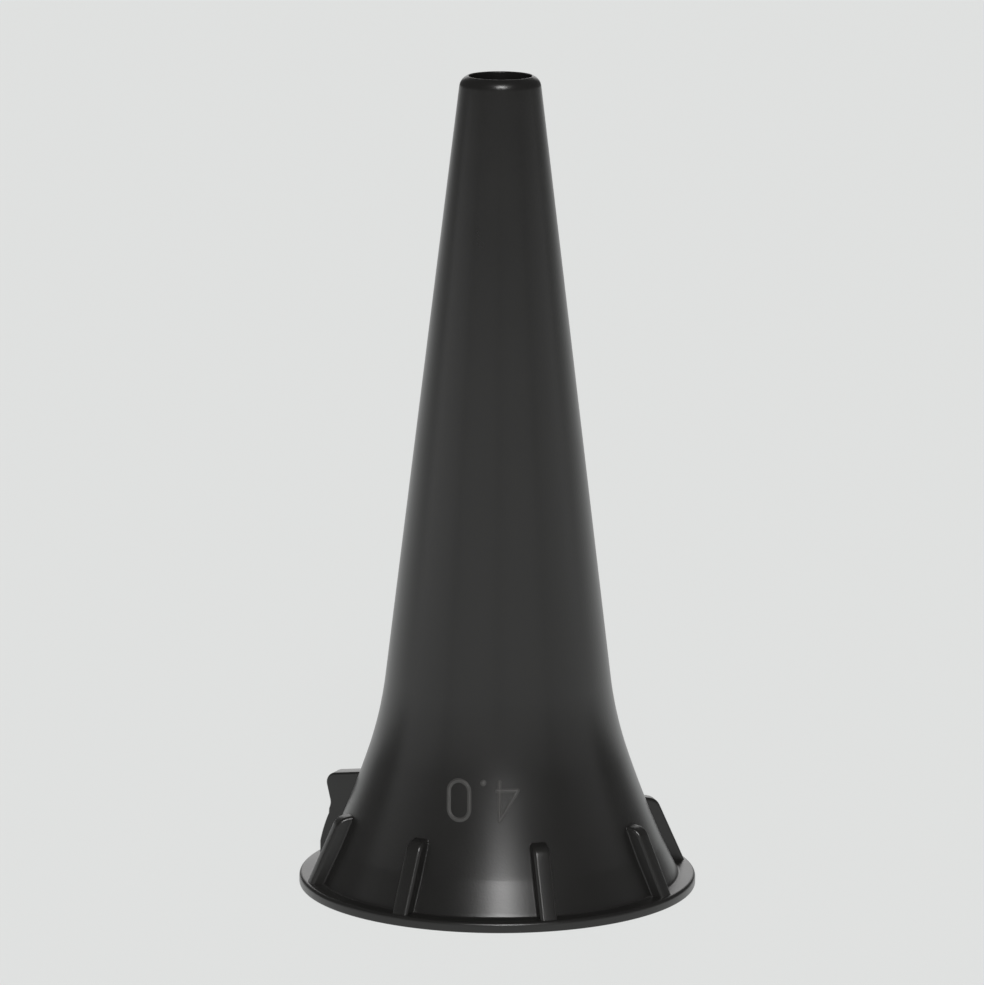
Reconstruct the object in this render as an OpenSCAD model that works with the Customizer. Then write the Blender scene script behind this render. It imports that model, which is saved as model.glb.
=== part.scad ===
// Ear speculum of an otoscope: the detachable funnel tip, moulded in one shot in black plastic.
// It stands on its flange with the viewing tip up. The origin is the centre of the flange's
// underside and +Z runs along the funnel's axis to the tip. The moulding is drawn as its named
// regions, which meet face to face without a gap.

/* [Tip] */
// Height of the whole speculum, from the flange's underside to the lip
total_h = 40.1; // [38:0.1:42]
// Outer diameter of the tip just below its rounded lip
tip_d = 4.05; // [4:0.05:4.2]
// Distance from the lip down to the level where the tip diameter is taken
tip_gauge_h = 0.85; // [0.7:0.05:1]
// Diameter of the viewing hole
viewing_hole_d = 3.05; // [2.8:0.05:3.2]
// Length of the straight viewing hole in the lip
lip_h = 1.1; // [1:0.1:1.5]
// Radius of the lip's rounded outer edge
lip_round = 0.6; // [0.4:0.05:0.65]
// Slope of the lip's face, from the rounded edge up to the viewing hole
lip_face_slope = 33; // [25:1:40]

/* [Funnel] */
// Angle between the barrel's wall and the axis
barrel_angle = 6.95; // [6.8:0.05:7.1]
// Height at which the barrel runs into the flare
flare_top_z = 10.4; // [10:0.1:10.8]
// Radius of the flare that curves the barrel's wall outwards
flare_r = 19; // [18:0.5:20]
// Angle between the wall and the axis where the flare runs into the skirt
skirt_angle = 18.6; // [18:0.1:19]
// Radius of the skirt's slight outward curve
skirt_curve_r = 52; // [50:1:60]
// Height of the straight band at the skirt's foot above the flange's underside
foot_band_z = 2.15; // [1.8:0.05:2.5]
// Angle between the band's face and the axis
foot_band_angle = 26; // [24:0.5:27]
// Thickness of the funnel's wall
wall = 0.55; // [0.5:0.05:0.6]

/* [Base] */
// Diameter of the flange
flange_d = 19.6; // [19.4:0.1:21]
// Thickness of the flange
flange_t = 0.5; // [0.4:0.05:0.6]
// Rounding of the flange's upper outer edge
flange_round = 0.18; // [0.1:0.01:0.25]
// Diameter of the seat that slides on the otoscope's nose
seat_d = 15.5; // [15.4:0.1:15.8]
// Length of the seat
seat_h = 1.5; // [1.2:0.1:1.6]

/* [Grip ribs] */
// Width of a rib
rib_w = 0.85; // [0.5:0.05:1]
// Radius of a rib's outer edge where it stands on the flange
rib_foot_r = 9.58; // [9.4:0.02:9.6]
// Lean of a rib's outer edge towards the axis
rib_angle = 24.3; // [23:0.1:25]
// Height of a rib's outer top corner above the flange's underside
rib_top_z = 3.7; // [3.4:0.01:3.8]
// Slope of a rib's top, up towards the wall
rib_top_slope = 10; // [0:1:25]
// Rounding of a rib's outer top corner
rib_round = 0.7; // [0.3:0.05:0.8]
// Direction of the first rib, turned from -Y towards +X
first_rib_turn = 15.2; // [0:0.1:45]

/* [Bayonet lug] */
// Thickness of the lug
lug_t = 1.0; // [0.8:0.1:1.2]
// Direction of the lug, turned from -Y towards +X
lug_turn = -115; // [-119.6:0.1:-112]
// Height of the lug's head above the flange's underside
lug_top_z = 4.6; // [4.5:0.05:4.7]
// Slope of the lug's top, from its head up towards the wall
lug_top_slope = 8; // [0:1:12]
// Radius of the lug's head
lug_head_r = 0.52; // [0.4:0.02:0.56]
// Radius of the hollow below the lug's head, where the otoscope's catch sits
lug_hollow_r = 0.7; // [0.6:0.05:0.8]

/* [Size mark] */
// Height of the digits
digit_h = 2.05; // [1.8:0.05:2.2]
// Width of a digit's strokes
stroke_w = 0.26; // [0.2:0.02:0.32]
// Height that the digits stand proud of the wall
mark_relief = 0.06; // [0.04:0.01:0.1]

/* [Hidden] */
$fn = 96;

plastic = [0.19, 0.19, 0.185];
lip_steps = 8;
flare_steps = 8;
skirt_steps = 6;
round_steps = 5;

// Every eighth of a turn holds a rib, but the lug takes one of the eight places
rib_pitch = 45;
rib_places = [-2, -1, 0, 1, 2, 3, 4];

hole_r = viewing_hole_d / 2;
lip_z = total_h - lip_h;
gauge_z = total_h - tip_gauge_h;
barrel_slope = tan(barrel_angle);

// Outer radius of the barrel's cone at the height z
function barrel_r(z) = tip_d / 2 + (gauge_z - z) * barrel_slope;

// The lip's round touches the barrel's cone, and its face ends at the hole's edge. The face is
// at the height face_z where it would meet the barrel's cone if there were no round.
face_slope = tan(lip_face_slope);
face_z = (total_h - (barrel_r(0) - hole_r) * face_slope) / (1 - barrel_slope * face_slope);
lip_corner = [barrel_r(face_z), face_z];

// Unit vector in the half-plane through the axis, at an angle from the radius
function direction(angle) = [cos(angle), sin(angle)];

// The flare and the skirt are arcs that run into each other, with their centres outside the
// funnel, so a point of the wall is found from the angle that the wall leans there
flare_centre = [barrel_r(flare_top_z), flare_top_z] + flare_r * direction(barrel_angle);
skirt_centre = flare_centre + (skirt_curve_r - flare_r) * direction(skirt_angle);

// Points of the flare and of the skirt, moved outwards from the surface
function flare_point(angle, out = 0) = flare_centre - (flare_r - out) * direction(angle);
function skirt_point(angle, out = 0) = skirt_centre - (skirt_curve_r - out) * direction(angle);

// Angle at which the skirt's outer or inner face reaches the height z
function skirt_lean(z, out = 0) = asin((skirt_centre[1] - z) / (skirt_curve_r - out));

// Radius of the skirt's outer or inner face at the height z
function skirt_r(z, out = 0) = skirt_point(skirt_lean(z, out), out)[0];

// Outlines of the flare and of the skirt, from the bottom up, moved outwards from the surface
function flare_outline(out = 0) = [
    for (i = [0:flare_steps])
        flare_point(skirt_angle + (barrel_angle - skirt_angle) * i / flare_steps, out)
];
function skirt_outline(out = 0) = [
    for (i = [0:skirt_steps])
        let (foot = skirt_lean(flange_t, out))
            skirt_point(foot + (skirt_angle - foot) * i / skirt_steps, out)
];

// The skirt's outer face, with the straight band below the curve
function skirt_face() = concat(
    [[skirt_r(foot_band_z) + (foot_band_z - flange_t) * tan(foot_band_angle), flange_t]],
    [
        for (i = [0:skirt_steps])
            let (foot = skirt_lean(foot_band_z))
                skirt_point(foot + (skirt_angle - foot) * i / skirt_steps)
    ]
);

// The same points in the opposite order
function reversed(points) = [for (i = [len(points) - 1:-1:0]) points[i]];

// Arc about a centre, from one angle to another
function arc(centre, r, from, to, steps) = [
    for (i = [0:steps])
        centre + r * direction(from + (to - from) * i / steps)
];

// Round of radius r in the corner of two straight edges whose normals have the angles from and to
function corner_round(corner, r, from, to, steps) = arc(
    corner - r / cos((to - from) / 2) * direction((from + to) / 2),
    r,
    from,
    to,
    steps
);

flare_top_out = flare_point(barrel_angle);
flare_top_in = flare_point(barrel_angle, -wall);
skirt_in_r = skirt_r(flange_t, -wall);

seat_r = seat_d / 2;
seat_top_r = skirt_r(seat_h, -wall);

// Corner where a rib's outer edge and its sloping top would meet without the round
rib_corner = [rib_foot_r - (rib_top_z - flange_t) * tan(rib_angle), rib_top_z];

// Centres of the lug's head and of the hollow below it
lug_foot_r = 9.6;
lug_foot_z = 1.0;
lug_flank_r = 7.5;
lug_flank_start = 12;
lug_flank_end = 24;
lug_head = [8.71, lug_top_z - lug_head_r];
lug_hollow = [9.72, 3.07];
lug_hollow_start = 207;
lug_hollow_end = 162;
lug_head_start = -18;

// The digits stand on the funnel's front, head down, so they read with the tip held downwards
mark_centre_x = -0.7;
mark_centre_z = 5.72;
digit_w = 1.25;
digit_offset = 1.17;
point_d = 0.36;
mark_reach_y = 12;

// Ring with the given outline, turned about the funnel's axis
module turned(outline) {
    color(plastic)
        rotate_extrude()
            polygon(outline);
}

module tip_lip() {
    turned(concat(
        [[hole_r, lip_z], [barrel_r(lip_z), lip_z]],
        corner_round(lip_corner, lip_round, barrel_angle, 90 - lip_face_slope, lip_steps),
        [[hole_r, total_h]]
    ));
}

module barrel() {
    turned([
        flare_top_in,
        flare_top_out,
        [barrel_r(lip_z), lip_z],
        [hole_r, lip_z]
    ]);
}

module flare() {
    turned(concat(flare_outline(), reversed(flare_outline(-wall))));
}

module skirt() {
    turned(concat(skirt_face(), reversed(skirt_outline(-wall))));
}

module base_flange() {
    turned(concat(
        [[skirt_in_r, 0], [flange_d / 2, 0]],
        arc([flange_d / 2 - flange_round, flange_t - flange_round], flange_round, 0, 90, round_steps),
        [[skirt_in_r, flange_t]]
    ));
}

module seat_collar() {
    turned([
        [seat_r, 0],
        [skirt_in_r, 0],
        [skirt_in_r, flange_t],
        [seat_top_r, seat_h],
        [seat_r, seat_h]
    ]);
}

// Everything inside the skirt's outer face
module skirt_core() {
    rotate_extrude()
        polygon(concat([[0, flange_t]], skirt_face(), [[0, flare_point(skirt_angle)[1]]]));
}

// Upright plate that stands on the flange in the direction of turn and ends at the skirt's wall
module fin(outline, thickness, turn) {
    color(plastic)
        difference() {
            rotate([0, 0, turn - 90])
                rotate([90, 0, 0])
                    linear_extrude(thickness, center = true)
                        polygon(outline);
            skirt_core();
        }
}

module grip_rib(place) {
    inner_r = skirt_r(rib_top_z) - wall;
    fin(
        concat(
            [[inner_r, flange_t], [rib_foot_r, flange_t]],
            corner_round(rib_corner, rib_round, rib_angle, 90 - rib_top_slope, round_steps),
            [[inner_r, rib_top_z + (rib_corner[0] - inner_r) * tan(rib_top_slope)]]
        ),
        rib_w,
        first_rib_turn + rib_places[place] * rib_pitch
    );
}

module grip_rib_1() grip_rib(0);
module grip_rib_2() grip_rib(1);
module grip_rib_3() grip_rib(2);
module grip_rib_4() grip_rib(3);
module grip_rib_5() grip_rib(4);
module grip_rib_6() grip_rib(5);
module grip_rib_7() grip_rib(6);

module bayonet_lug() {
    inner_r = skirt_r(lug_top_z) - wall;
    flank_centre = [lug_foot_r, lug_foot_z] - lug_flank_r * direction(lug_flank_start);
    lug_end = lug_head + lug_head_r * direction(90 - lug_top_slope);
    fin(
        concat(
            [[inner_r, flange_t], [lug_foot_r, flange_t]],
            arc(flank_centre, lug_flank_r, lug_flank_start, lug_flank_end, round_steps),
            arc(lug_hollow, lug_hollow_r, lug_hollow_start, lug_hollow_end, round_steps),
            arc(lug_head, lug_head_r, lug_head_start, 90 - lug_top_slope, lip_steps),
            [[inner_r, lug_end[1] + (lug_end[0] - inner_r) * tan(lug_top_slope)]]
        ),
        lug_t,
        lug_turn
    );
}

// Flat outline of a zero: a ring with straight sides and round ends
module zero_outline() {
    difference() {
        union() {
            square([digit_w, digit_h - digit_w], center = true);
            for (side = [-1, 1])
                translate([0, side * (digit_h - digit_w) / 2])
                    circle(d = digit_w);
        }
        union() {
            square([digit_w - 2 * stroke_w, digit_h - digit_w], center = true);
            for (side = [-1, 1])
                translate([0, side * (digit_h - digit_w) / 2])
                    circle(d = digit_w - 2 * stroke_w);
        }
    }
}

// Flat outline of a four: a stem, a crossbar and a slanted stroke, as one closed figure
module four_outline() {
    stem_x = digit_w * 0.2;
    bar_y = -digit_h * 0.24;
    translate([stem_x, -digit_h / 2])
        square([stroke_w, digit_h]);
    translate([-digit_w / 2, bar_y - stroke_w / 2])
        square([digit_w, stroke_w]);
    polygon([
        [stem_x, digit_h / 2],
        [-digit_w / 2, bar_y + stroke_w / 2],
        [-digit_w / 2, bar_y - stroke_w / 2],
        [-digit_w / 2 + stroke_w, bar_y + stroke_w / 2],
        [stem_x, digit_h / 2 - stroke_w * 1.9]
    ]);
}

// Thin shell on the outside of the skirt and the flare
module mark_shell() {
    rotate_extrude()
        polygon(concat(
            skirt_outline(mark_relief),
            flare_outline(mark_relief),
            reversed(flare_outline()),
            reversed(skirt_outline())
        ));
}

module size_mark() {
    color(plastic)
        intersection() {
            mark_shell();
            translate([mark_centre_x, 0, mark_centre_z])
                rotate([90, 180, 0])
                    linear_extrude(mark_reach_y) {
                        translate([-digit_offset, 0])
                            four_outline();
                        translate([digit_offset, 0])
                            zero_outline();
                        translate([0, (point_d - digit_h) / 2])
                            circle(d = point_d);
                    }
        }
}

tip_lip();
barrel();
flare();
skirt();
base_flange();
seat_collar();
grip_rib_1();
grip_rib_2();
grip_rib_3();
grip_rib_4();
grip_rib_5();
grip_rib_6();
grip_rib_7();
bayonet_lug();
size_mark();
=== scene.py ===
import math

import bmesh
import bpy
from mathutils import Matrix, Vector


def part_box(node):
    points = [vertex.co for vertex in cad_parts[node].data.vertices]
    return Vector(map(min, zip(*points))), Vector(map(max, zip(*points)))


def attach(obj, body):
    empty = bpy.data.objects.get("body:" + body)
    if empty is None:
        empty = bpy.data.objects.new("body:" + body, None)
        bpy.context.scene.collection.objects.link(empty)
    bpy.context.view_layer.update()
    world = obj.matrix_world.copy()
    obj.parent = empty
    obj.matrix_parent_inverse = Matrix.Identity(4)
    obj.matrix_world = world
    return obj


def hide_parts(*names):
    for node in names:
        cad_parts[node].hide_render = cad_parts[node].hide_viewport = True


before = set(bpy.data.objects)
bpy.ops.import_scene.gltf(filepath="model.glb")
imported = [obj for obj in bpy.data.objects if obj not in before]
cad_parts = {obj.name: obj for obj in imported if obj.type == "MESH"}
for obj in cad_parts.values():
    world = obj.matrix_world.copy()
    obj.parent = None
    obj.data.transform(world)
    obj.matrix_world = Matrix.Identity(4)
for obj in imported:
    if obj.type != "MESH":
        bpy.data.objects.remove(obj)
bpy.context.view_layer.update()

MM = 0.001

# Driving dimensions in millimetres and degrees, as in the part's own design, with the small rounds
# and blends that only the visual model has
BARREL_ANGLE = 6.95
FLARE_TOP_Z = 10.4
FLARE_R = 19.0
SKIRT_ANGLE = 18.6
SKIRT_CURVE_R = 52.0
WALL = 0.55
TIP_R = 2.025
TIP_GAUGE_H = 0.85
HOLE_R = 1.525
SEAT_R = 7.75
SEAT_H = 1.5
LIP_ROUND = 0.6
LIP_FACE_SLOPE = 33.0
RIM_ROUND = 0.06
FOOT_BAND_Z = 2.15
FOOT_BAND_ANGLE = 26.0
SKIRT_FILLET_R = 0.16
BAND_BLEND = 0.03
FLANGE_ROUND = 0.18
FLANGE_LOW_ROUND = 0.05
SEAT_CHAMFER = 0.12
SEAT_TOP_CHAMFER = 0.03
RIB_W = 0.85
RIB_FOOT_R = 9.58
RIB_ANGLE = 24.3
RIB_TOP_Z = 3.7
RIB_TOP_SLOPE = 10.0
RIB_ROUND = 0.7
RIB_EDGE_R = 0.18
RIB_ROOT_R = 0.07
FIRST_RIB_TURN = 15.2
RIB_PITCH = 45.0
RIB_PLACES = (-2, -1, 0, 1, 2, 3, 4)
LUG_T = 1.0
LUG_TURN = -115.0
LUG_TOP_Z = 4.6
LUG_TOP_SLOPE = 8.0
LUG_HEAD_R = 0.52
LUG_HEAD_X = 8.71
LUG_HEAD_START = -18.0
LUG_FOOT_R = 9.6
LUG_FOOT_Z = 1.0
LUG_FLANK_R = 7.5
LUG_FLANK = (12.0, 24.0)
LUG_HOLLOW = (9.72, 3.07)
LUG_HOLLOW_R = 0.7
LUG_HOLLOW_BEND = (207.0, 162.0)
LUG_EDGE_R = 0.12
LUG_ROOT_R = 0.15
DIGIT_H = 2.05
DIGIT_W = 1.25
DIGIT_OFFSET = 1.17
STROKE_W = 0.26
FOUR_STEM = 0.2
FOUR_BAR = -0.24
DOT_CORE_R = 0.05
MARK_RELIEF = 0.06
MARK_CENTRE = (-0.7, 5.72)
MARK_MARGIN = 0.1
MARK_CELL = 0.02
MARK_SINK = 0.01
MARK_DEPTH = 0.1

# Plastic: noise scales per metre, and the grain's relief in metres
GRAIN_SCALE = 9000.0
CLOUD_SCALE = 260.0
GRAIN_STRENGTH = 0.15
GRAIN_RELIEF = 0.00002

# Camera, in millimetres and degrees
CAMERA_DISTANCE = 295.574
CAMERA_ELEVATION = 11.5556
CAMERA_ROLL = 0.2048
CAMERA_TARGET = (-0.33, 0.0, 19.579)
SENSOR_W = 36.0
LENS = 220.94

# Studio, in metres. A softbox has its azimuth from the front towards the right, its elevation, the
# angles from its middle where it starts and stops to fade, and its strength. A fill card has its
# azimuth and its strength.
WHITE = (1.0, 0.995, 0.99, 1.0)
AMBIENT = 0.1
SOFTBOXES = ((180, 14, 5, 22, 1.3), (5, 46, 3, 13, 17.0), (3.4, 39, 1, 6, 14.0))
FILL_CARDS = ((-75, 0.57), (-25, 0.52), (25, 0.48), (75, 0.38))
CARD_SIZE = (0.1, 0.034)
CARD_DISTANCE = 0.115
CARD_HEIGHT = 0.024
FLOOR_TINT = (0.985, 1.0, 0.99, 1.0)
FLOOR_BASE = (0.1, 0.1, 0.1, 1.0)
FLOOR_GLOW = 0.7
FLOOR_R = 0.8
FLOOR_Z = -0.00002
FLOOR_SIDES = 96

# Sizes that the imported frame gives
FLANGE_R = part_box("base_flange")[1][0] / MM
FLANGE_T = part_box("base_flange")[1][2] / MM
TOTAL_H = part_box("tip_lip")[1][2] / MM
LIP_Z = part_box("tip_lip")[0][2] / MM

# Mesh fineness, and how deep buried edges and faces lie in millimetres
TURNS = 256
SHARP_ANGLE = 35.0
SETTLING_STEPS = 12
EDGE_STEPS = 6
SINK = 0.004
BURIED = 0.2
FOOT_SINK = 0.05


def direction(angle):
    """Unit vector in the half-plane through the axis, at an angle from the radius in degrees."""
    a = math.radians(angle)
    return Vector((math.cos(a), math.sin(a)))


def barrel_r(z):
    """Outer radius of the barrel's cone at the height z."""
    return TIP_R + (TOTAL_H - TIP_GAUGE_H - z) * math.tan(math.radians(BARREL_ANGLE))


FLARE_CENTRE = Vector((barrel_r(FLARE_TOP_Z), FLARE_TOP_Z)) + FLARE_R * direction(BARREL_ANGLE)
SKIRT_CENTRE = FLARE_CENTRE + (SKIRT_CURVE_R - FLARE_R) * direction(SKIRT_ANGLE)


def flare_point(angle, out=0.0):
    """Point of the flare where the wall leans by the angle, moved outwards from the surface."""
    return FLARE_CENTRE - (FLARE_R - out) * direction(angle)


def skirt_point(angle, out=0.0):
    """Point of the skirt where the wall leans by the angle, moved outwards from the surface."""
    return SKIRT_CENTRE - (SKIRT_CURVE_R - out) * direction(angle)


def skirt_lean(z, out=0.0):
    """Angle at which the skirt's face reaches the height z."""
    return math.degrees(math.asin((SKIRT_CENTRE.y - z) / (SKIRT_CURVE_R - out)))


def steps(a, b, n):
    """n + 1 values from a to b."""
    return [a + (b - a) * i / n for i in range(n + 1)]


def arc(centre, r, start, end, n):
    """Points on an arc about a centre, between two angles in degrees."""
    return [Vector(centre) + r * direction(a) for a in steps(start, end, n)]


def corner_round(corner, r, start, end, n):
    """Round of radius r in the corner of two straight edges whose normals have the two angles."""
    inwards = r / math.cos(math.radians(end - start) / 2)
    return arc(Vector(corner) - inwards * direction((start + end) / 2), r, start, end, n)


BAND_TOP = skirt_point(skirt_lean(FOOT_BAND_Z))


def wall_point(z):
    """Point of the outer wall and its outward unit normal at the height z, below the barrel."""
    if z < FOOT_BAND_Z:
        reach = (FOOT_BAND_Z - z) * math.tan(math.radians(FOOT_BAND_ANGLE))
        return Vector((BAND_TOP.x + reach, z)), direction(FOOT_BAND_ANGLE)
    if z < flare_point(SKIRT_ANGLE).y:
        lean = skirt_lean(z)
        return skirt_point(lean), direction(lean)
    lean = math.degrees(math.asin((FLARE_CENTRE.y - z) / FLARE_R))
    return flare_point(lean), direction(lean)


def mesh_piece(name, faces):
    """Smooth-shaded closed object from faces given as lists of points in millimetres. Points that
    coincide become one vertex, edges over the sharp angle stay sharp, and flat faces shade flat."""
    index = {}
    verts = []
    loops = []
    for face in faces:
        loop = []
        for p in face:
            key = (round(p[0], 5), round(p[1], 5), round(p[2], 5))
            if key not in index:
                index[key] = len(verts)
                verts.append(tuple(MM * c for c in p))
            if index[key] not in loop:
                loop.append(index[key])
        if len(loop) > 2:
            loops.append(loop)
    mesh = bpy.data.meshes.new(name + "_mesh")
    mesh.from_pydata(verts, [], loops)
    bm = bmesh.new()
    bm.from_mesh(mesh)
    bmesh.ops.recalc_face_normals(bm, faces=bm.faces)
    limit = math.radians(SHARP_ANGLE)
    for edge in bm.edges:
        edge.smooth = len(edge.link_faces) == 2 and edge.calc_face_angle(0) < limit
    for face in bm.faces:
        face.smooth = True
    bm.to_mesh(mesh)
    bm.free()
    piece = bpy.data.objects.new(name + "_shape", mesh)
    bpy.context.collection.objects.link(piece)
    weighted = piece.modifiers.new("weighted_normals", "WEIGHTED_NORMAL")
    weighted.keep_sharp = True
    return piece


def strips(rows):
    """Quads between neighbouring rows of points."""
    return [
        (a[i], a[i + 1], b[i + 1], b[i])
        for a, b in zip(rows, rows[1:])
        for i in range(len(a) - 1)
    ]


def lathe(name, outline):
    """Closed outline of (radius, height) points turned about the axis."""
    closed = outline + outline[:1]
    rings = []
    for k in range(TURNS):
        a = 2 * math.pi * k / TURNS
        rings.append([(p[0] * math.cos(a), p[0] * math.sin(a), p[1]) for p in closed])
    return mesh_piece(name, strips(rings + rings[:1]))


def place(piece, node):
    """The piece stands for a CAD node, rides on the one body and takes the black plastic. The
    mark's raised strokes are rubbed to a paler, duller finish."""
    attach(piece, "root")
    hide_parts(node)
    piece.data.materials.append(WORN_PLASTIC if node == "size_mark" else PLASTIC)


def black_plastic(name, rough_range, dark, light):
    """Moulded black plastic: a fine grain, and slight flow clouds in its roughness and tone."""
    mat = bpy.data.materials.new(name)
    mat.use_nodes = True
    nodes, links = mat.node_tree.nodes, mat.node_tree.links
    shader = nodes["Principled BSDF"]
    coords = nodes.new("ShaderNodeTexCoord")

    grain = nodes.new("ShaderNodeTexNoise")
    grain.inputs["Scale"].default_value = GRAIN_SCALE
    grain.inputs["Detail"].default_value = 3.0
    links.new(coords.outputs["Object"], grain.inputs["Vector"])
    clouds = nodes.new("ShaderNodeTexNoise")
    clouds.inputs["Scale"].default_value = CLOUD_SCALE
    clouds.inputs["Detail"].default_value = 4.0
    links.new(coords.outputs["Object"], clouds.inputs["Vector"])

    rough = nodes.new("ShaderNodeMapRange")
    rough.inputs["To Min"].default_value = rough_range[0]
    rough.inputs["To Max"].default_value = rough_range[1]
    links.new(clouds.outputs["Fac"], rough.inputs["Value"])
    links.new(rough.outputs["Result"], shader.inputs["Roughness"])

    tone = nodes.new("ShaderNodeValToRGB")
    tone.color_ramp.elements[0].color = dark
    tone.color_ramp.elements[1].color = light
    links.new(clouds.outputs["Fac"], tone.inputs["Fac"])
    links.new(tone.outputs["Color"], shader.inputs["Base Color"])

    bump = nodes.new("ShaderNodeBump")
    bump.inputs["Strength"].default_value = GRAIN_STRENGTH
    bump.inputs["Distance"].default_value = GRAIN_RELIEF
    links.new(grain.outputs["Fac"], bump.inputs["Height"])
    links.new(bump.outputs["Normal"], shader.inputs["Normal"])
    shader.inputs["IOR"].default_value = 1.5
    return mat


PLASTIC = black_plastic(
    "black_plastic", (0.25, 0.33), (0.0115, 0.0113, 0.0108, 1.0), (0.0165, 0.0160, 0.0152, 1.0)
)
WORN_PLASTIC = black_plastic(
    "black_plastic_worn", (0.45, 0.55), (0.045, 0.044, 0.042, 1.0), (0.065, 0.063, 0.061, 1.0)
)


def tip_lip():
    """Lip with a rounded outer edge, a sloping face and the straight viewing hole, whose rounded rim
    is the funnel's highest point."""
    slope = math.tan(math.radians(LIP_FACE_SLOPE))
    taper = math.tan(math.radians(BARREL_ANGLE))
    rim_z = TOTAL_H + RIM_ROUND * (1 / math.tan(math.radians(90 - LIP_FACE_SLOPE) / 2) - 1)
    face_z = (rim_z - (barrel_r(0) - HOLE_R) * slope) / (1 - taper * slope)
    edge = (barrel_r(face_z), face_z)
    shoulder = corner_round(edge, LIP_ROUND, BARREL_ANGLE, 90 - LIP_FACE_SLOPE, 20)
    mouth = corner_round((HOLE_R, rim_z), RIM_ROUND, 90 - LIP_FACE_SLOPE, 180, 8)
    outline = [Vector((HOLE_R, LIP_Z)), Vector((barrel_r(LIP_Z), LIP_Z))] + shoulder + mouth
    return lathe("tip_lip", [tuple(p) for p in outline])


def barrel():
    """Long slim cone, slightly drafted inside."""
    n = 24
    foot_in = flare_point(BARREL_ANGLE, -WALL)
    foot_out = flare_point(BARREL_ANGLE)
    outer = [(barrel_r(z), z) for z in steps(foot_out.y, LIP_Z, n)]
    top_in = Vector((HOLE_R, LIP_Z))
    inner = [tuple(foot_in + (top_in - foot_in) * t) for t in steps(1, 0, n)]
    return lathe("barrel", outer + inner)


def flare():
    """Arc that blends the barrel into the skirt."""
    outer = [tuple(flare_point(a)) for a in steps(SKIRT_ANGLE, BARREL_ANGLE, 40)]
    inner = [tuple(flare_point(a, -WALL)) for a in steps(BARREL_ANGLE, SKIRT_ANGLE, 24)]
    return lathe("flare", outer + inner)


def skirt():
    """Wide cone above the flange, with a straight band and a small round at its foot."""
    foot = wall_point(FLANGE_T)[0]
    reach = SKIRT_FILLET_R * math.tan(math.radians(90 - FOOT_BAND_ANGLE) / 2)
    centre = foot + Vector((reach, SKIRT_FILLET_R))
    fillet = [tuple(p) for p in arc(centre, SKIRT_FILLET_R, 270, 180 + FOOT_BAND_ANGLE, 10)]
    band = [tuple(wall_point(z)[0]) for z in steps(fillet[-1][1], FOOT_BAND_Z - BAND_BLEND, 10)][1:]
    curve_foot = skirt_lean(FOOT_BAND_Z + BAND_BLEND)
    outer = [tuple(skirt_point(a)) for a in steps(curve_foot, SKIRT_ANGLE, 24)]
    foot_in = skirt_lean(FLANGE_T, -WALL)
    inner = [tuple(skirt_point(a, -WALL)) for a in steps(SKIRT_ANGLE, foot_in, 20)]
    return lathe("skirt", fillet + band + outer + inner)


def base_flange():
    """Thin flange with a rounded upper edge and a slightly rounded lower one."""
    foot_in = skirt_point(skirt_lean(FLANGE_T, -WALL), -WALL).x
    low = (FLANGE_R - FLANGE_LOW_ROUND, FLANGE_LOW_ROUND)
    high = (FLANGE_R - FLANGE_ROUND, FLANGE_T - FLANGE_ROUND)
    edge = arc(low, FLANGE_LOW_ROUND, -90, 0, 5) + arc(high, FLANGE_ROUND, 0, 90, 14)
    return lathe("base_flange", [(foot_in, 0.0)] + [tuple(p) for p in edge] + [(foot_in, FLANGE_T)])


def seat_collar():
    """Straight seat inside the wide end, with a chamfered mouth."""
    foot_in = skirt_point(skirt_lean(FLANGE_T, -WALL), -WALL).x
    top_in = skirt_point(skirt_lean(SEAT_H, -WALL), -WALL).x
    outline = [
        (SEAT_R + SEAT_CHAMFER, 0.0), (foot_in, 0.0), (foot_in, FLANGE_T), (top_in, SEAT_H),
        (SEAT_R + SEAT_TOP_CHAMFER, SEAT_H), (SEAT_R, SEAT_H - SEAT_TOP_CHAMFER), (SEAT_R, SEAT_CHAMFER)
    ]
    return lathe("seat_collar", outline)


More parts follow.
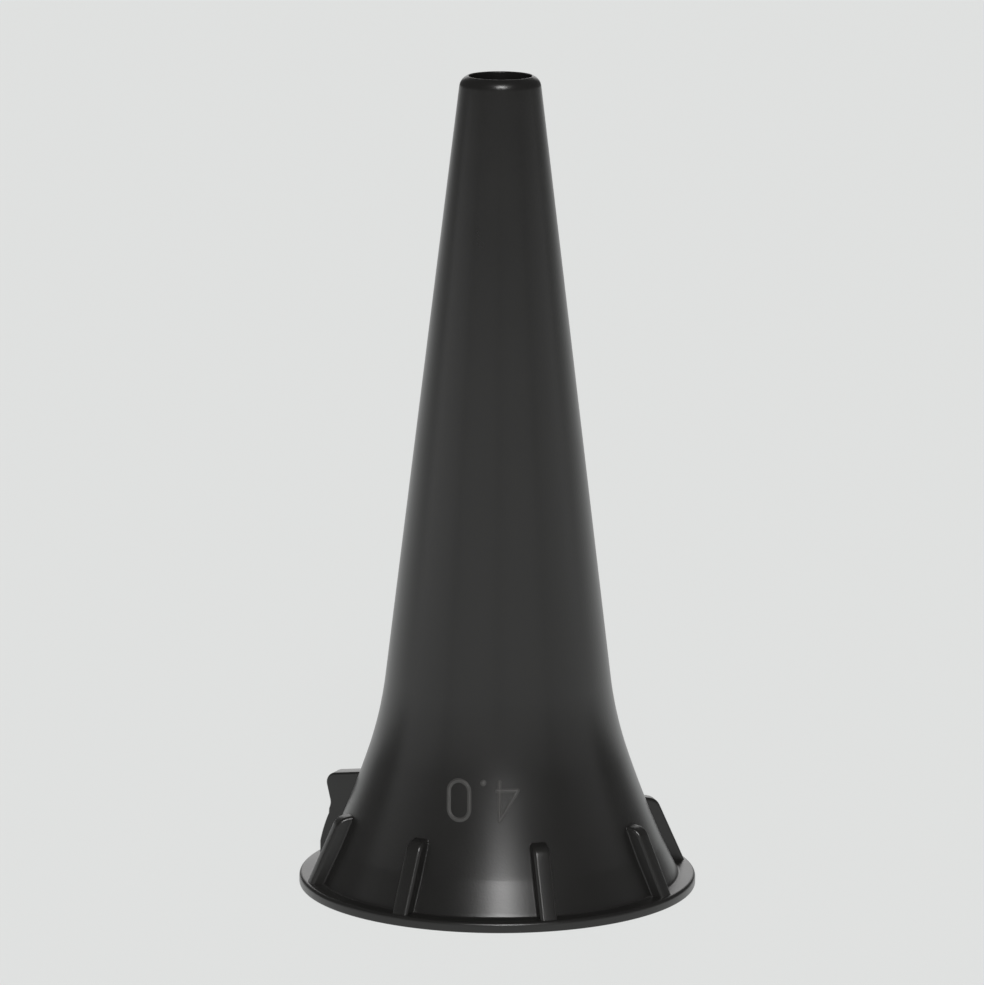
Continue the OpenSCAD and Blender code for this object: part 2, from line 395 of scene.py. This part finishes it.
def fin(name, outline, thickness, turn, edge_r, root_r):
    """Upright plate on the wall, from an outline of (radius, height) points that runs from its foot
    in the flange up and over to just above the wall. Its edges are rounded, and a concave round
    leads from its sides and its top end into the wall."""
    half = thickness / 2
    a = math.radians(turn)
    radial = Vector((math.sin(a), -math.cos(a), 0.0))
    along = Vector((math.cos(a), math.sin(a), 0.0))
    up = Vector((0.0, 0.0, 1.0))
    count = len(outline)

    def in_space(p, t):
        return radial * p.x + along * t + up * p.y

    def above_wall(z, t, h):
        """Point of the wall at the height z and beside the middle plane by t, raised by h."""
        base, normal = wall_point(z)
        return in_space(Vector((math.sqrt(base.x ** 2 - t * t), base.y)) + normal * h, t)

    def foot_on_wall(p, t):
        """Height of the wall's point below p, and how far p stands off the wall."""
        z = p.y
        for _ in range(SETTLING_STEPS):
            base, normal = wall_point(z)
            h = (p - Vector((math.sqrt(base.x ** 2 - t * t), base.y))).dot(normal)
            z = p.y - h * normal.y
        return z, h

    normals = []
    for k in range(count):
        d = outline[min(k + 1, count - 1)] - outline[max(k - 1, 0)]
        normals.append(Vector((d.y, -d.x)).normalized())

    # Rounded edges: rows along the outline, from the middle strip out to the flat side
    edge = []
    for b in steps(0, 90, EDGE_STEPS):
        bend = direction(b)
        t = half - edge_r + edge_r * bend.y
        edge.append([(outline[k] - normals[k] * edge_r * (1 - bend.x), t) for k in range(count)])

    # The side's lower line, then the way round the top end to the middle. Each place has its height
    # on the wall, its distance from the middle plane, how far it stands off the wall, and the
    # direction, up and sideways, in which the root spreads from it.
    way = [(foot_on_wall(p, half)[0], half, root_r, 0.0, 1.0) for p, _ in edge[-1][:-1]]
    for j in range(EDGE_STEPS, -1, -1):
        p, t = edge[j][-1]
        z, h = foot_on_wall(p, t)
        bend = direction(90 * j / EDGE_STEPS)
        way.append((z, t, h, bend.x, bend.y))

    # Concave round from that line down onto the wall, and on below its surface
    root = []
    for b in steps(0, 90, EDGE_STEPS):
        bend = direction(b)
        out = root_r * (1 - bend.x)
        row = []
        for z, t, h, dz, dt in way:
            rise = out * dz * math.cos(math.radians(skirt_lean(z)))
            row.append((z + rise, t + out * dt, h * (1 - bend.y) - SINK * bend.y))
        root.append(row)
    root.append([(z, t, -BURIED) for z, t, _ in root[-1]])

    faces = []
    edges = []
    roots = []
    for side in (1, -1):
        edge_rows = [[in_space(p, side * t) for p, t in row] for row in edge]
        root_rows = [[above_wall(z, side * t, h) for z, t, h in row] for row in root]
        side_row = root_rows[0][:count - 1] + [edge_rows[-1][-1]]
        root_rows[0] = side_row + [row[-1] for row in reversed(edge_rows[:-1])]
        faces += strips(edge_rows) + strips([edge_rows[-1], side_row]) + strips(root_rows)
        edges.append(edge_rows)
        roots.append(root_rows)

    # Between the two sides: the outer middle strip, the buried face, the top end and the foot
    faces += strips([edges[0][0], edges[1][0]]) + strips([roots[0][-1], roots[1][-1]])
    faces += strips([[row[-1] for row in roots[0]], [row[-1] for row in roots[1]]])
    foot = [row[0] for row in reversed(roots[0])] + [row[0] for row in reversed(edges[0])]
    foot += [row[0] for row in edges[1]] + [row[0] for row in roots[1]]
    faces.append(foot)
    return mesh_piece(name, faces)


def sloping_top(start, slope, root_r, n):
    """Points from the start up a slope towards the axis, ending just above the wall."""
    rise = Vector((-1.0, math.tan(math.radians(slope))))
    reach = 0.0
    for _ in range(SETTLING_STEPS):
        p = start + rise * reach
        reach += p.x - wall_point(p.y)[0].x - root_r
    return [start + rise * t for t in steps(0, reach, n)][1:]


def grip_rib(place_index):
    """One grip rib: a straight leaning edge and a round corner under a sloping top."""
    slope = math.tan(math.radians(RIB_ANGLE))
    corner = (RIB_FOOT_R - (RIB_TOP_Z - FLANGE_T) * slope, RIB_TOP_Z)
    foot = Vector((RIB_FOOT_R + FOOT_SINK * slope, FLANGE_T - FOOT_SINK))
    bend = corner_round(corner, RIB_ROUND, RIB_ANGLE, 90 - RIB_TOP_SLOPE, 12)
    edge = [foot + (bend[0] - foot) * t for t in steps(0, 1, 10)[:-1]]
    top = sloping_top(bend[-1], RIB_TOP_SLOPE, RIB_ROOT_R, 5)
    turn = FIRST_RIB_TURN + RIB_PITCH * RIB_PLACES[place_index]
    name = "grip_rib_%d" % (place_index + 1)
    return fin(name, edge + bend + top, RIB_W, turn, RIB_EDGE_R, RIB_ROOT_R)


def bayonet_lug():
    """Taller fin with a waisted outer edge and a slightly sloping top."""
    flank = Vector((LUG_FOOT_R, LUG_FOOT_Z)) - LUG_FLANK_R * direction(LUG_FLANK[0])
    head = (LUG_HEAD_X, LUG_TOP_Z - LUG_HEAD_R)
    outline = [Vector((LUG_FOOT_R, z)) for z in steps(FLANGE_T - FOOT_SINK, LUG_FOOT_Z, 3)[:-1]]
    outline += arc(flank, LUG_FLANK_R, LUG_FLANK[0], LUG_FLANK[1], 10)
    outline += arc(LUG_HOLLOW, LUG_HOLLOW_R, LUG_HOLLOW_BEND[0], LUG_HOLLOW_BEND[1], 14)
    outline += arc(head, LUG_HEAD_R, LUG_HEAD_START, 90 - LUG_TOP_SLOPE, 18)
    outline += sloping_top(outline[-1], LUG_TOP_SLOPE, LUG_ROOT_R, 5)
    return fin("bayonet_lug", outline, LUG_T, LUG_TURN, LUG_EDGE_R, LUG_ROOT_R)


def segment_distance(p, a, b):
    """Distance of the point p from the straight stroke between a and b."""
    along = b - a
    t = max(0.0, min(1.0, (p - a).dot(along) / along.length_squared))
    return (p - a - along * t).length


def mark_distance(x, y):
    """Distance from the nearest centre line of the digits, which stand upright in these axes."""
    p = Vector((x, y))
    inset = STROKE_W / 2
    top, bottom = DIGIT_H / 2 - inset, inset - DIGIT_H / 2
    four = Vector((-DIGIT_OFFSET, 0.0))
    stem_x = FOUR_STEM * DIGIT_W + inset
    bar_y = FOUR_BAR * DIGIT_H
    left, right = inset - DIGIT_W / 2, DIGIT_W / 2 - inset
    strokes = [
        segment_distance(p - four, Vector((stem_x, top)), Vector((stem_x, bottom))),
        segment_distance(p - four, Vector((left, bar_y)), Vector((right, bar_y))),
        segment_distance(p - four, Vector((stem_x, top)), Vector((left, bar_y)))
    ]
    ring = DIGIT_W / 2 - inset
    reach = top - ring
    core = Vector((x - DIGIT_OFFSET, y - max(-reach, min(reach, y))))
    strokes.append(abs(core.length - ring))
    strokes.append((p - Vector((0.0, bottom + DOT_CORE_R))).length - DOT_CORE_R)
    return min(strokes)


def size_mark():
    """Raised generic size number, head down on the front of the funnel."""
    half_x = DIGIT_OFFSET + DIGIT_W / 2 + MARK_MARGIN
    half_y = DIGIT_H / 2 + MARK_MARGIN
    columns = steps(-half_x, half_x, round(2 * half_x / MARK_CELL))
    rows = steps(-half_y, half_y, round(2 * half_y / MARK_CELL))

    def on_front(x, y, h):
        """The digits are turned head down, so their axes run against the funnel's."""
        base, normal = wall_point(MARK_CENTRE[1] - y)
        a = math.asin((MARK_CENTRE[0] - x) / base.x)
        r = base.x + normal.x * h
        return (r * math.sin(a), -r * math.cos(a), base.y + normal.y * h)

    def relief(x, y):
        """Height over the wall: full on a stroke's middle line, and just below the wall beside it."""
        t = max(0.0, min(1.0, 1 - mark_distance(x, y) / (STROKE_W / 2)))
        return -MARK_SINK + (MARK_RELIEF + MARK_SINK) * t * t * (3 - 2 * t)

    top = [[on_front(x, y, relief(x, y)) for x in columns] for y in rows]
    under = [[on_front(x, y, -MARK_DEPTH) for x in columns] for y in rows]
    faces = strips(top) + strips(under)
    for k in (0, -1):
        faces += strips([top[k], under[k]])
        faces += strips([[row[k] for row in top], [row[k] for row in under]])
    return mesh_piece("size_mark", faces)


def make_camera():
    """Camera at the photograph's viewing angle, with a long lens and a slight roll."""
    cam = bpy.data.cameras.new("camera")
    cam.sensor_width = SENSOR_W
    cam.lens = LENS
    cam.clip_start = 0.01
    obj = bpy.data.objects.new("camera", cam)
    bpy.context.collection.objects.link(obj)
    elevation = math.radians(CAMERA_ELEVATION)
    roll = math.radians(CAMERA_ROLL)
    back = Vector((0.0, -math.cos(elevation), math.sin(elevation)))
    level = Vector((1.0, 0.0, 0.0))
    right = level * math.cos(roll) + back.cross(level) * math.sin(roll)
    obj.location = (Vector(CAMERA_TARGET) + back * CAMERA_DISTANCE) * MM
    obj.rotation_euler = Matrix((right, back.cross(right), back)).transposed().to_euler()
    bpy.context.scene.camera = obj


def make_world():
    """Dim studio with a bright back wall and two softboxes high in front."""
    world = bpy.data.worlds.new("studio")
    world.use_nodes = True
    bpy.context.scene.world = world
    nodes, links = world.node_tree.nodes, world.node_tree.links
    coords = nodes.new("ShaderNodeTexCoord")
    background = nodes["Background"]
    background.inputs["Color"].default_value = WHITE
    light = None
    for azimuth, elevation, inner, outer, strength in SOFTBOXES:
        a, e = math.radians(azimuth), math.radians(elevation)
        dot = nodes.new("ShaderNodeVectorMath")
        dot.operation = "DOT_PRODUCT"
        dot.inputs[1].default_value = (math.sin(a) * math.cos(e), -math.cos(a) * math.cos(e), math.sin(e))
        links.new(coords.outputs["Generated"], dot.inputs[0])
        glow = nodes.new("ShaderNodeMapRange")
        glow.interpolation_type = "SMOOTHSTEP"
        glow.inputs["From Min"].default_value = math.cos(math.radians(outer))
        glow.inputs["From Max"].default_value = math.cos(math.radians(inner))
        glow.inputs["To Max"].default_value = strength
        links.new(dot.outputs["Value"], glow.inputs["Value"])
        total = nodes.new("ShaderNodeMath")
        total.inputs[1].default_value = AMBIENT
        if light:
            links.new(light, total.inputs[1])
        links.new(glow.outputs["Result"], total.inputs[0])
        light = total.outputs["Value"]
    links.new(light, background.inputs["Strength"])


def make_fill_cards():
    """Low pale cards that stand round the front, out of the picture."""
    for azimuth, strength in FILL_CARDS:
        a = math.radians(azimuth)
        card = bpy.data.lights.new("fill_card", "AREA")
        card.shape = "RECTANGLE"
        card.size, card.size_y = CARD_SIZE
        card.energy = strength * math.pi * card.size * card.size_y
        obj = bpy.data.objects.new("fill_card", card)
        obj.location = (CARD_DISTANCE * math.sin(a), -CARD_DISTANCE * math.cos(a), CARD_HEIGHT)
        obj.rotation_euler = (math.radians(90), 0.0, a)
        obj.visible_camera = False
        bpy.context.collection.objects.link(obj)


def make_floor():
    """Plain pale ground, evenly lit all over, a hair below the flange."""
    mat = bpy.data.materials.new("pale_floor")
    mat.use_nodes = True
    shader = mat.node_tree.nodes["Principled BSDF"]
    shader.inputs["Base Color"].default_value = FLOOR_BASE
    shader.inputs["Roughness"].default_value = 1.0
    shader.inputs["Specular IOR Level"].default_value = 0.0
    shader.inputs["Emission Color"].default_value = FLOOR_TINT
    shader.inputs["Emission Strength"].default_value = FLOOR_GLOW
    turns = steps(0, 2 * math.pi, FLOOR_SIDES)[:-1]
    ring = [(FLOOR_R * math.cos(a), FLOOR_R * math.sin(a), FLOOR_Z) for a in turns]
    mesh = bpy.data.meshes.new("floor")
    mesh.from_pydata(ring, [], [tuple(range(FLOOR_SIDES))])
    mesh.materials.append(mat)
    floor = bpy.data.objects.new("floor", mesh)
    bpy.context.collection.objects.link(floor)


bpy.context.scene.view_settings.view_transform = "Standard"
make_camera()
make_world()
make_fill_cards()
make_floor()
pieces = [tip_lip(), barrel(), flare(), skirt(), base_flange(), seat_collar(), bayonet_lug(), size_mark()]
pieces += [grip_rib(i) for i in range(len(RIB_PLACES))]
for piece in pieces:
    place(piece, piece.name.removesuffix("_shape"))
